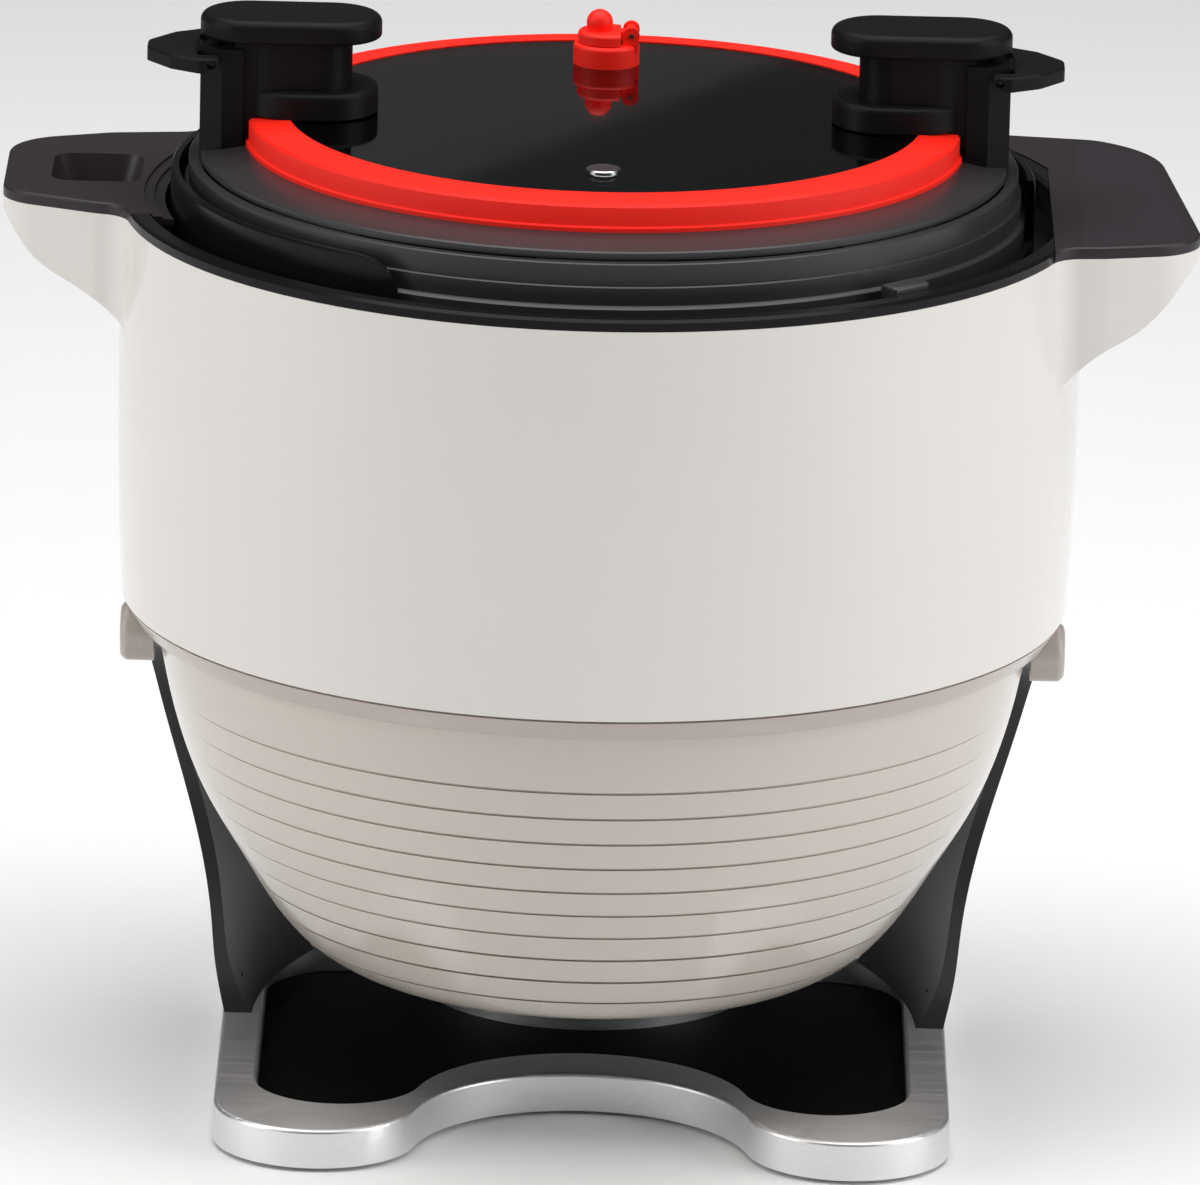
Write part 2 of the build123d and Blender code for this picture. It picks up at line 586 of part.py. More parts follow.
def build_collar():
    """Black collar: rim trim, trough, guard wall, lock channel and the pot's seat."""
    trim_r = SHELL_TOP_R + TRIM_PROUD
    channel_r = LOCK_R - GAP - 0.1
    seat_r = POT_LIP_R + 0.4
    collar = turned(
        (MOUTH_R, COLLAR_Z), (MOUTH_R, SEAT_Z), (seat_r, SEAT_Z), (seat_r, SEAT_Z + 1.3),
        (channel_r, SEAT_Z + 1.3),
        (channel_r, CHANNEL_Z), (GUARD_IN_R, CHANNEL_Z), (GUARD_IN_R, GUARD_Z), (GUARD_R - 0.8, GUARD_Z),
        (GUARD_R, GUARD_Z - 0.8), (GUARD_R, TROUGH_Z), (TROUGH_R, TROUGH_Z), (TROUGH_R, TRIM_Z - 1.2),
        (TROUGH_R + 1.2, TRIM_Z), (trim_r - 1.0, TRIM_Z), (trim_r, TRIM_Z - 1.0), (trim_r, RIM_Z),
        (COLLAR_R, RIM_Z), (COLLAR_R, COLLAR_Z))
    relief = turned((MOUTH_R + 3, COLLAR_Z - 1), (MOUTH_R + 3, SEAT_Z - 3), (seat_r - 3, SEAT_Z - 3),
                    (seat_r - 3, COLLAR_Z - 1))
    collar -= relief
    guard_zone = band(GUARD_IN_R - 0.1, GUARD_R + 1, TROUGH_Z, GUARD_Z + 2)
    collar -= guard_zone & window_cutter()
    for side in (-1, 1):
        collar -= handle_zone(side, RIM_Z)
    latch_angle = -90 - WINDOW_LEFT + 12
    catch = sector(GUARD_R - 0.2, GUARD_R + 4.5, TROUGH_Z - 0.5, TROUGH_Z + 5, latch_angle, 4.5)
    collar += catch
    screws = []
    for step in range(6):
        angle = radians(30 + 60 * step)
        x = (TROUGH_R - 6) * cos(angle)
        y = (TROUGH_R - 6) * sin(angle)
        screws.append(screw(x, y, COLLAR_Z - 3.2, COLLAR_Z + 1.2, 1.5, 3.0))
    for one in screws:
        collar -= one
    keep("collar", collar)
    keep("collar_screws", *screws)


def pocket_centre():
    """Centre of the finger pocket in the left handle, as (X, Y)."""
    return -(TIP_X - POCKET_IN), HANDLE_BACK + 4


def pocket_loft(grow, top_flare, depth):
    """Tapered pocket body that narrows downwards."""
    x, y = pocket_centre()
    high = TRIM_Z + 0.01
    low = TRIM_Z - depth
    length = POCKET_LENGTH + grow
    width = POCKET_WIDTH + grow
    top = Pos(x, y, high) * RectangleRounded(length + top_flare, width + top_flare, 7.0)
    bottom = Pos(x, y, low) * RectangleRounded(length - 4, width - 4, 5.0)
    return loft([top.face(), bottom.face()])


def build_handles():
    """Covers of the two side handles, the touch panel and the finger pocket."""
    for side, name in ((-1, "left_handle_cover"), (1, "right_handle_cover")):
        plan = handle_plan(side)
        cover = Pos(0, 0, RIM_Z) * risen(plan, TRIM_HEIGHT)
        cover = fillet(cover.faces().sort_by(Axis.Z)[-1].edges(), 1.2)
        cover = cover & handle_zone(side, RIM_Z, SNUG)
        cover = cover.solids().sort_by(SortBy.VOLUME)[-1]
        if side < 0:
            for step, radius in enumerate((TROUGH_R, TROUGH_R - 3.5)):
                cover -= band(GUARD_R, radius, TRIM_Z - 0.9 * (step + 1), TRIM_Z + 1)
            cup = pocket_loft(3.0, 3.0, POCKET_DEPTH + 1.5)
            cover += cup
            cover -= pocket_loft(0.0, 5.0, POCKET_DEPTH)
        else:
            film = Pos(0, 0, TRIM_Z - 0.8) * risen(offset(plan, -PANEL_INSET), 0.8)
            film = film & slab(COLLAR_R + 4, TIP_X, RIGHT.root_front, RIGHT.root_rear - 8, 0, 500)
            film = film.solids().sort_by(SortBy.VOLUME)[-1]
            cover -= film
            keep("touch_panel", film)
        keep(name, cover)
    deck_x = SHELL_TOP_R + 11
    board = slab(deck_x - 9.5, deck_x + 9.5, HANDLE_BACK - 38, HANDLE_BACK + 36, RIM_Z - 6.6, RIM_Z - 5)
    parts = [slab(deck_x - 6, deck_x + 6, HANDLE_BACK - 16, HANDLE_BACK + 16, RIM_Z - 5, RIM_Z - 1.5)]
    for y in (-30.0, 24.0, 32.0):
        middle = HANDLE_BACK + y
        parts.append(slab(deck_x - 4, deck_x + 4, middle - 3, middle + 3, RIM_Z - 5, RIM_Z - 2.5))
    for part in parts:
        board += part
    keep("control_board", board)


def build_trunnions():
    """Pivot pins fixed to the pot body and the plates that hold them."""
    pin = rod_x(PIN_RADIUS, BOWL_R - 22, PIVOT_X + ARM_THICK + 0.4, 0, AXIS_Z)
    pin = chamfer(pin.faces().sort_by(Axis.X)[-1].edges(), 0.6)
    plate = slab(BOWL_R - 19, BOWL_R - 15, -24, 24, AXIS_Z - 14, SEAM_Z + 30)
    plate -= rod_x(PIN_RADIUS, 0, 400, 0, AXIS_Z)
    keep("trunnion_pins", pin, mirrored(pin))
    keep("trunnion_plates", plate, mirrored(plate))


# ---------------------------------------------------------------- heating and electrics

def build_chamber():
    """Chamber liner, heating plate and element, standoffs, sensor and its sleeve."""
    floor_top = LINER_Z + LINER_WALL
    sleeve_r = SENSOR_RADIUS + RUN + 2.4
    liner = turned((sleeve_r, LINER_Z), (LINER_R - 8, LINER_Z), (LINER_R, LINER_Z + 8),
                   (LINER_R, COLLAR_Z - 1.2), (POT_LIP_R - 6, COLLAR_Z - 1.2), (POT_LIP_R - 6, COLLAR_Z),
                   (LINER_IN_R, COLLAR_Z), (LINER_IN_R, LINER_Z + 8.5), (LINER_IN_R - 7.3, floor_top),
                   (sleeve_r, floor_top))
    plate = rod_z(PLATE_RADIUS, PLATE_Z, PLATE_TOP_Z)
    plate = fillet(plate.faces().sort_by(Axis.Z)[-1].edges(), 2.0)
    plate -= rod_z(sleeve_r, 0, 500)
    element = Pos(0, 0, PLATE_Z + 1.5) * Torus(ELEMENT_RADIUS, ELEMENT_TUBE)
    plate -= element
    for x in (-6, 6):
        element += rod_z(2.0, PLATE_Z - 12, PLATE_Z + 1.5, x, -ELEMENT_RADIUS)
    standoffs = []
    for third in range(3):
        angle = radians(30 + 120 * third)
        reach = 0.86 * PLATE_RADIUS
        standoffs.append(rod_z(4, floor_top, PLATE_Z, reach * cos(angle), reach * sin(angle)))
    sleeve = rod_z(sleeve_r, LINER_Z, PLATE_TOP_Z - 2) - rod_z(SENSOR_RADIUS + RUN, floor_top + 1.0, 500)
    cap_top = POT_FLOOR_Z - GAP
    cap = rod_z(SENSOR_RADIUS, cap_top - 16, cap_top)
    cap = fillet(cap.faces().sort_by(Axis.Z)[-1].edges(), 1.0)
    cap -= rod_z(SENSOR_RADIUS - 1.6, 0, cap_top - 2)
    spring = rod_z(6.0, floor_top + 1.0, cap_top - 2) - rod_z(4.6, 0, 500)
    fuse = slab(20, 42, -5, 5, floor_top, floor_top + 8)
    keep("chamber_liner", liner)
    keep("heating_plate", plate)
    keep("heating_element", element)
    keep("plate_standoffs", *standoffs)
    keep("sensor_sleeve", sleeve)
    keep("sensor_cap", cap)
    keep("sensor_spring", spring)
    keep("thermal_fuse", fuse)


def build_electrics():
    """Power board under the liner and the inlet in the back of the shell."""
    low = BOWL_Z + BOWL_WALL + 14
    board = slab(-42, 42, -30, 30, low, low + 1.6)
    blocks = ((-28, -14, 18, 16, 14), (-26, 14, 20, 20, 16), (4, 0, 12, 24, 12), (28, 14, 16, 14, 14))
    for x, y, sx, sy, tall in blocks:
        board += slab(x - sx / 2, x + sx / 2, y - sy / 2, y + sy / 2, low + 1.6, low + 1.6 + tall)
    for x in (-38, 38):
        for y in (-26, 26):
            board += rod_z(3, BOWL_Z + BOWL_WALL + 2, low, x, y)
    face_y = SHELL_MID_R - 2.6
    z = SEAM_Z + 22
    inlet = slab(-25, 25, face_y - 3, face_y, z - 14, z + 14)
    inlet += slab(-14, 14, face_y - 24, face_y - 3, z - 10, z + 10)
    inlet -= slab(-12, 12, face_y - 18, face_y + 1, z - 8, z + 8)
    for x in (-7, 0, 7):
        inlet += slab(x - 1, x + 1, face_y - 22, face_y - 5, z - 2, z + 2)
    keep("power_board", board)
    keep("power_inlet", inlet)


# ---------------------------------------------------------------- lock ring, pot and lid

def build_lock_ring():
    """Rotating lock ring with inner teeth, and its finger knob."""
    step_r = LOCK_WALL_R + 1.3
    low_rail = RIM_Z + 3
    high_rail = RIM_Z + 10
    ring = turned((LOCK_R, CHANNEL_Z + GAP), (RAIL_R, CHANNEL_Z + GAP), (RAIL_R, low_rail - 0.5),
                  (RAIL_R - 0.5, low_rail), (step_r, low_rail + 0.6), (step_r, high_rail - 0.4),
                  (step_r - 0.4, high_rail), (LOCK_WALL_R, high_rail), (LOCK_WALL_R, LOCK_TOP_Z - 0.4),
                  (LOCK_WALL_R - 0.4, LOCK_TOP_Z), (LOCK_R, LOCK_TOP_Z))
    step = 360 / TOOTH_COUNT
    for index in range(TOOTH_COUNT):
        tooth_in = LID_NECK_R + GAP + 0.1
        ring += sector(tooth_in, LOCK_R + 0.5, LOCK_TOOTH_Z, LOCK_TOP_Z, index * step, TOOTH_ARC)
    angle = KNOB_ANGLE - 90
    low = TROUGH_Z + 4.2
    stem = slab(RAIL_R - 1, GUARD_R + 2, -3, 3, low, low + 4)
    head = slab(GUARD_R + GAP + 0.2, TROUGH_R - 0.8, -KNOB_WIDTH / 2, KNOB_WIDTH / 2, low, low + KNOB_HEIGHT)
    head = fillet(head.edges(), 1.2)
    rib = slab(GUARD_R + GAP + 0.2, TROUGH_R - 1.5, -2.5, 2.5, TROUGH_Z + 0.6, low + 2)
    knob = Rot(0, 0, angle) * (stem + head + rib)
    ring -= knob
    keep("lock_ring", ring)
    keep("lock_knob", knob)


def build_inner_pot():
    """Removable inner pot with a wide lip."""
    inside = POT_RADIUS - POT_WALL
    body = rod_z(POT_RADIUS, POT_FLOOR_Z, LIP_Z)
    body = fillet(body.faces().sort_by(Axis.Z)[0].edges(), POT_CORNER)
    body += rod_z(POT_LIP_R, LIP_Z - LIP_THICK, LIP_Z)
    cavity = rod_z(inside, POT_FLOOR_Z + POT_WALL, LIP_Z + 10)
    cavity = fillet(cavity.faces().sort_by(Axis.Z)[0].edges(), POT_CORNER - POT_WALL)
    keep("inner_pot", body - cavity)


def build_lid():
    """Lid ring with teeth, gasket, rim seal, glass and badge."""
    gasket_r = POT_RADIUS + 1.5
    ring = turned((SEAL_IN_R - 2.6, LID_PLANE_Z), (SEAL_OUT_R, LID_PLANE_Z), (LID_R - 0.5, LID_TOP_Z),
                  (LID_R, LID_TOP_Z - 0.5),
                  (LID_R, LID_EDGE_Z), (LID_NECK_R, LID_EDGE_Z), (LID_NECK_R, TOOTH_Z),
                  (gasket_r + GASKET_WIDTH, TOOTH_Z), (gasket_r + GASKET_WIDTH, TOOTH_Z + GASKET_DEPTH),
                  (gasket_r, TOOTH_Z + GASKET_DEPTH), (gasket_r, TOOTH_Z), (SEAL_IN_R - 1, TOOTH_Z),
                  (SEAL_IN_R - 2.6, TOOTH_Z + 2))
    step = 360 / TOOTH_COUNT
    for index in range(TOOTH_COUNT):
        middle = (index + 0.5) * step
        ring += sector(LID_NECK_R - 0.5, LID_R + 0.1, TOOTH_Z, TOOTH_TOP_Z, middle, TOOTH_ARC)
    gasket = turned((gasket_r, TOOTH_Z + GASKET_DEPTH), (gasket_r + GASKET_WIDTH, TOOTH_Z + GASKET_DEPTH),
                    (gasket_r + GASKET_WIDTH, LIP_Z + GAP), (gasket_r + GASKET_WIDTH - 2.5, LIP_Z + GAP),
                    (gasket_r + GASKET_WIDTH - 2.5, TOOTH_Z + 2), (gasket_r + 2.5, TOOTH_Z + 2),
                    (gasket_r + 2.5, LIP_Z + GAP), (gasket_r, LIP_Z + GAP))
    seal = turned((SEAL_OUT_R, LID_PLANE_Z), (SEAL_OUT_R, LID_PLANE_Z + 1.4),
                  (SEAL_OUT_R - 0.9, LID_PLANE_Z + 1.9), (SEAL_OUT_R - 0.9, SEAL_TOP_Z - 2.2),
                  (SEAL_OUT_R - 1.7, SEAL_TOP_Z - 1.2),
                  (SEAL_IN_R + 0.8, SEAL_TOP_Z), (SEAL_IN_R, SEAL_TOP_Z - 0.2), (SEAL_IN_R, GLASS_TOP_Z),
                  (GLASS_R, GLASS_TOP_Z), (GLASS_R, GLASS_Z), (SEAL_IN_R - 1.4, GLASS_Z),
                  (SEAL_IN_R - 1.4, GLASS_Z - 2.5),
                  (SEAL_IN_R + 3, LID_PLANE_Z))
    glass = rod_z(GLASS_R, GLASS_Z, GLASS_TOP_Z) - rod_z(4.8, 0, 500, 0, VENT_BACK)
    badge = rod_z(BADGE_RADIUS, GLASS_TOP_Z, GLASS_TOP_Z + 0.9, 0, -BADGE_OUT)
    badge = chamfer(badge.faces().sort_by(Axis.Z)[-1].edges(), 0.4)
    keep("lid_ring", ring)
    keep("pressure_gasket", gasket)
    keep("rim_seal", seal)
    keep("lid_glass", glass)
    keep("badge_disc", badge)


def stadium(x0, x1, width, low, high, edge):
    """Flat block with round ends along X, softened on its upper edge."""
    block = Pos((x0 + x1) / 2, 0, low) * extrude(SlotOverall(x1 - x0, width), high - low)
    return fillet(block.faces().sort_by(Axis.Z)[-1].edges(), edge)


def build_lid_handles():
    """Brackets, grip caps, wing levers and their pins, on both sides of the lid."""
    out = LID_R + CAP_OVERHANG
    post_in = SEAL_OUT_R + POST_IN
    lever_z = CAP_Z - 6.5
    pin_x = out - PIN_INSET
    foot = Pos(0, 0, SEAL_TOP_Z) * extrude(
        Pos(out - 38, 0) * RectangleRounded(46, 40, 19), 9)
    foot = fillet(foot.faces().sort_by(Axis.Z)[-1].edges(), 2.0)
    neck = Pos(out - 33, 0, SEAL_TOP_Z + 8) * extrude(RectangleRounded(38, 30, 12), CAP_Z - SEAL_TOP_Z - 8)
    half = POST_WIDTH / 2
    nose = POST_NOSE / 2
    plan = Polyline((post_in, -half), (pin_x - 3.5, -half), (out - 0.4, -nose), (out - 0.4, nose),
                    (pin_x - 3.5, half), (post_in, half), close=True)
    post = Pos(0, 0, LID_EDGE_Z + 0.4) * risen(make_face(plan.edges()), lever_z + 4 - LID_EDGE_Z - 0.4)
    web = slab(out - 22, post_in + 3, -half + 1, half - 1, SEAL_TOP_Z - 6, CAP_Z)
    bracket = foot + neck + post + web
    pocket = slab(pin_x - HUB_RADIUS - GAP - 0.2, out + 30, -HUB_WIDTH / 2 - GAP, HUB_WIDTH / 2 + GAP,
                  lever_z - HUB_RADIUS - 0.8, CAP_Z + 1)
    bracket -= pocket
    pin_end = HUB_WIDTH / 2 + 2.2
    bracket -= rod_y(LEVER_PIN, -pin_end - 0.2, pin_end + 0.2, pin_x, lever_z)
    bracket -= nodes["lid_ring"][0]
    bracket -= nodes["rim_seal"][0]
    cap = stadium(out - CAP_LENGTH, out, CAP_WIDTH, CAP_Z, CAP_Z + CAP_THICK, 3.2)
    cap = fillet(cap.faces().sort_by(Axis.Z)[0].edges(), 1.2)
    tip = out + LEVER_LENGTH - 8
    root = pin_x + 4.8
    edge_side = [(root, half + 1.2), (root - 7, half + 1.2), (root - 7, half + 5), (root - 2, half + 9.5),
                 (root + 9, half + 2.5), (tip, 5)]
    leaf = Polyline(*edge_side, *[(x, -y) for x, y in reversed(edge_side)], close=True)
    lever = Pos(0, 0, lever_z - LEVER_THICK / 2) * risen(make_face(leaf.edges()), LEVER_THICK)
    outward = [edge for edge in lever.edges().filter_by(Axis.Z) if edge.center().X > root + 1]
    lever = fillet(outward, 5.0)
    shoulders = [edge for edge in lever.edges().filter_by(Axis.Z) if abs(edge.center().Y) > half + 9]
    lever = fillet(shoulders, 3.0)
    lever = fillet(lever.faces().sort_by(Axis.Z)[-1].edges(), 1.0)
    lever += slab(pin_x, root + 1, -HUB_WIDTH / 2, HUB_WIDTH / 2, lever_z - 2, lever_z + 2)
    hub = rod_y(HUB_RADIUS, -HUB_WIDTH / 2, HUB_WIDTH / 2, pin_x, lever_z)
    lever += hub
    spring_room = 3.0
    for side in (-1, 1):
        low, high = sorted((side * (HUB_WIDTH / 2 - spring_room), side * HUB_WIDTH / 2))
        lever -= rod_y(HUB_RADIUS + 0.4, low, high, pin_x, lever_z)
    lever -= rod_y(LEVER_PIN + RUN, -30, 30, pin_x, lever_z)
    lever = lever.solids().sort_by(SortBy.VOLUME)[-1]
    pin = rod_y(LEVER_PIN, -pin_end, pin_end, pin_x, lever_z)
    springs = []
    for side in (-1, 1):
        low, high = sorted((side * (HUB_WIDTH / 2 - spring_room + GAP), side * HUB_WIDTH / 2))
        coil = rod_y(HUB_RADIUS - 0.7, low, high, pin_x, lever_z)
        springs.append(coil - rod_y(LEVER_PIN, -30, 30, pin_x, lever_z))
    screws = []
    for y in (-5.0, 5.0):
        x = out - 8
        screws.append(screw(x, y, TOOTH_Z, LID_TOP_Z + 12, 1.6, 3.0))
    for one in screws:
        bracket -= one
        nodes["lid_ring"][0] -= one
        nodes["lid_ring"][0] -= mirrored(one)
    keep("right_lid_bracket", bracket)
    keep("left_lid_bracket", mirrored(bracket))
    keep("right_grip_cap", cap)
    keep("left_grip_cap", mirrored(cap))
    keep("right_lever", lever)
    keep("left_lever", mirrored(lever))
    keep("lever_pins", pin, mirrored(pin))
    keep("lever_springs", *springs, *[mirrored(one) for one in springs])
    keep("lid_screws", *screws, *[mirrored(one) for one in screws])


def build_vent():
    """Steam vent: seat through the glass, hinged flap and its pin."""
    seat_top = GLASS_TOP_Z + VENT_SEAT
    pin_z = seat_top + 3.4
    seat = rod_z(VENT_RADIUS, GLASS_TOP_Z, seat_top)
    seat = fillet(seat.faces().sort_by(Axis.Z)[-1].edges(), 1.5)
    seat += rod_z(4.8, GLASS_Z - 1, GLASS_TOP_Z + 1)
    seat += rod_z(8, GLASS_Z - 3.5, GLASS_Z)
    for side in (-1, 1):
        low, high = sorted((side * 3.2, side * 6.0))
        seat += rod_y(2.9, low, high, VENT_PIN_OUT, pin_z)
        seat += slab(VENT_PIN_OUT - 2.9, VENT_PIN_OUT + 2.6, low, high, seat_top - 2, pin_z)
    seat -= rod_z(2.5, 0, 500)
    seat -= rod_y(VENT_PIN, -30, 30, VENT_PIN_OUT, pin_z)
    flap = rod_z(VENT_RADIUS - 1.5, seat_top + GAP, seat_top + 4.2)
    flap = fillet(flap.faces().sort_by(Axis.Z)[-1].edges(), 1.4)
    flap -= slab(VENT_PIN_OUT - 3.6, 40, -40, 40, 0, 500)
    flap += slab(0, VENT_PIN_OUT, -2.8, 2.8, pin_z - 1.6, pin_z + 0.8)
    flap += rod_y(2.4, -2.8, 2.8, VENT_PIN_OUT, pin_z)
    tab = Pos(-2.5, 0, seat_top + 6.8) * Sphere(4.6)
    flap += Pos(-2.5, 0, seat_top + 2) * extrude(Circle(4.3), 4.0) + tab
    flap -= rod_y(VENT_PIN + RUN, -30, 30, VENT_PIN_OUT, pin_z)
    pin = rod_y(VENT_PIN, -6.4, 6.4, VENT_PIN_OUT, pin_z)
    keep("vent_seat", Pos(0, VENT_BACK, 0) * seat)
    keep("vent_flap", Pos(0, VENT_BACK, 0) * flap)
    keep("vent_pin", Pos(0, VENT_BACK, 0) * pin)


def write_parts():
    """Write one STEP file per node."""
    os.makedirs("parts", exist_ok=True)
    for name, solids in nodes.items():
        bodies = [piece for solid in solids for piece in solid.solids()]
        shape = bodies[0] if len(bodies) == 1 else Compound(children=bodies)
        export_step(shape, f"parts/{name}.step")


build_stand()
build_arms()
build_shell()
build_bowl()
build_collar()
build_handles()
build_trunnions()
build_chamber()
build_electrics()
build_lock_ring()
build_inner_pot()
build_lid()
build_lid_handles()
build_vent()
write_parts()
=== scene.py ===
"""Looks of the tilting electric pressure cooker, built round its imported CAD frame."""
import json
import math

import bmesh
import bpy
from mathutils import Matrix, Vector


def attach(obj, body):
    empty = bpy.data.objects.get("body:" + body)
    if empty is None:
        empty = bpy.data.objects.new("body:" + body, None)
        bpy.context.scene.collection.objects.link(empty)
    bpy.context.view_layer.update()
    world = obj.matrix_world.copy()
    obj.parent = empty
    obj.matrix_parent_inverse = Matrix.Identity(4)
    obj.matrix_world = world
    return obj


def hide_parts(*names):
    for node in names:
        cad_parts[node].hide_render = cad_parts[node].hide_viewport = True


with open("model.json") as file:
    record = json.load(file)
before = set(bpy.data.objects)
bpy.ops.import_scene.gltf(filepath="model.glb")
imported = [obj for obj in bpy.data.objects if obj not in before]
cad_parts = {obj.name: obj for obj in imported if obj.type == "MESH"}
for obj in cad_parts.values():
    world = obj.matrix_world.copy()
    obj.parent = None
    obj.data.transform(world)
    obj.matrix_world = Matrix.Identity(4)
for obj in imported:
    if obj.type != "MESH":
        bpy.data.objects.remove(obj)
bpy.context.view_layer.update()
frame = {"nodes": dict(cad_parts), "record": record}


# ------------------------------------------------------------------ camera, floor and light

CAMERA_TARGET = Vector((0.0022, 0.0, 0.172))
CAMERA_RISE = math.radians(15.75)
CAMERA_ROLL = math.radians(1.35)
CAMERA_DISTANCE = 5.0
FRAME_WIDTH = 0.414  # metres seen across the picture at the target
SENSOR = 36.0        # millimetres

WORLD_COLOUR = (0.95, 0.97, 1.0, 1.0)
WORLD_STRENGTH = 0.045
FLOOR_RADIUS = 14.0

# Soft panels: place, size, radiance, tint, point aimed at and roll in degrees
WHITE = (1.0, 1.0, 1.0)
PANELS = {
    "overhead": ((0.0, 0.0, 2.7), (3.4, 3.0), 3.15, WHITE, (0.0, 0.0, 0.2), 0.0),
    "left_panel": ((-2.7, -0.9, 1.3), (1.6, 2.0), 3.3, (1.0, 0.99, 0.97), (0.0, 0.0, 0.25), 0.0),
    "right_panel": ((2.7, -0.9, 1.3), (1.6, 2.0), 4.2, (0.99, 0.99, 1.0), (0.0, 0.0, 0.25), 0.0),
    "glass_card": ((-0.686, 2.0, 0.868), (2.3, 0.46), 0.06, WHITE, (-0.686, 0.0, 0.868), 22.0),
}


def add_camera():
    """Long lens a little above the rim, rolled slightly."""
    data = bpy.data.cameras.new("camera")
    data.sensor_width = SENSOR
    data.lens = SENSOR * CAMERA_DISTANCE / FRAME_WIDTH
    data.clip_start = 0.1
    data.clip_end = 60.0
    camera = bpy.data.objects.new("camera", data)
    bpy.context.scene.collection.objects.link(camera)
    back = Vector((0.0, -math.cos(CAMERA_RISE), math.sin(CAMERA_RISE)))
    camera.location = CAMERA_TARGET + back * CAMERA_DISTANCE
    aim = (-back).to_track_quat("-Z", "Y").to_matrix().to_4x4()
    turn = aim @ Matrix.Rotation(CAMERA_ROLL, 4, "Z")
    camera.rotation_euler = turn.to_euler()
    bpy.context.scene.camera = camera


def add_softbox(name, place, size, radiance, tint, aim, roll):
    """Rectangular soft light that faces a point; radiance is its brightness."""
    data = bpy.data.lights.new(name, "AREA")
    data.shape = "RECTANGLE"
    data.size, data.size_y = size
    data.energy = radiance * math.pi * size[0] * size[1]
    data.color = tint
    light = bpy.data.objects.new(name, data)
    bpy.context.scene.collection.objects.link(light)
    light.location = place
    turn = (Vector(aim) - Vector(place)).to_track_quat("-Z", "Y").to_matrix().to_4x4()
    light.rotation_euler = (turn @ Matrix.Rotation(math.radians(roll), 4, "Z")).to_euler()


def add_studio():
    """Pale floor, dim surround and soft panels above, beside and behind the cooker."""
    world = bpy.data.worlds.new("studio")
    bpy.context.scene.world = world
    world.use_nodes = True
    background = world.node_tree.nodes["Background"]
    background.inputs["Color"].default_value = WORLD_COLOUR
    background.inputs["Strength"].default_value = WORLD_STRENGTH
    bpy.context.scene.view_settings.view_transform = "Standard"
    bm = bmesh.new()
    bmesh.ops.create_circle(bm, cap_ends=True, segments=64, radius=FLOOR_RADIUS)
    floor = mesh_object("studio_floor", bm)
    floor.data.materials.append(floor_paint())
    for name, values in PANELS.items():
        add_softbox(name, *values)


# ------------------------------------------------------------------ mesh helpers

CREASE = math.radians(30.0)
WELD = 2e-6    # corners closer than this are one
SLIVER = 1e-7  # edges shorter than this are dropped


def mesh_object(name, bm, body=None):
    """Object from a bmesh, placed at the origin, which may ride on a body."""
    mesh = bpy.data.meshes.new(name)
    bm.to_mesh(mesh)
    bm.free()
    piece = bpy.data.objects.new(name, mesh)
    bpy.context.scene.collection.objects.link(piece)
    if body:
        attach(piece, body)
    return piece


def smooth_by_angle(bm):
    """Smooth faces with creases where two faces meet at more than the crease angle."""
    for face in bm.faces:
        face.smooth = True
    for edge in bm.edges:
        edge.smooth = len(edge.link_faces) == 2 and edge.calc_face_angle(0.0) < CREASE


def body_of_node(node):
    """Name of the body that a CAD node belongs to."""
    for body, members in frame["record"]["behaviour"]["bodies"].items():
        if node in members:
            return body
    raise KeyError(node)


def slot_of_node(node):
    """Material slot of a CAD node."""
    for entry in frame["record"]["subparts"]:
        if entry["node"] == node:
            return entry["material_slot"]
    raise KeyError(node)


def finished(node):
    """Merged and smooth-shaded copy that stands for a CAD node."""
    bm = bmesh.new()
    bm.from_mesh(frame["nodes"][node].data)
    for layer in list(bm.loops.layers.uv.values()):
        bm.loops.layers.uv.remove(layer)
    bmesh.ops.remove_doubles(bm, verts=bm.verts, dist=WELD)
    bmesh.ops.dissolve_degenerate(bm, edges=bm.edges, dist=SLIVER)
    smooth_by_angle(bm)
    piece = mesh_object("fine_" + node, bm, body_of_node(node))
    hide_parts(node)
    return piece


# ------------------------------------------------------------------ shader groups

def new_group(name, inputs, outputs):
    """Empty shader group with named sockets; each entry is (name, kind, default)."""
    group = bpy.data.node_groups.new(name, "ShaderNodeTree")
    for label, kind, value in inputs:
        socket = group.interface.new_socket(name=label, in_out="INPUT", socket_type=kind)
        if value is not None:
            socket.default_value = value
    for label, kind in outputs:
        group.interface.new_socket(name=label, in_out="OUTPUT", socket_type=kind)
    source = group.nodes.new("NodeGroupInput")
    sink = group.nodes.new("NodeGroupOutput")
    return group, source, sink


def add_node(tree, kind, **values):
    """Node of a kind; keywords set its properties or, by socket name, its inputs."""
    node = tree.nodes.new(kind)
    for key, value in values.items():
        label = key.replace("_", " ")
        if hasattr(node, key):
            setattr(node, key, value)
        else:
            node.inputs[label].default_value = value
    return node


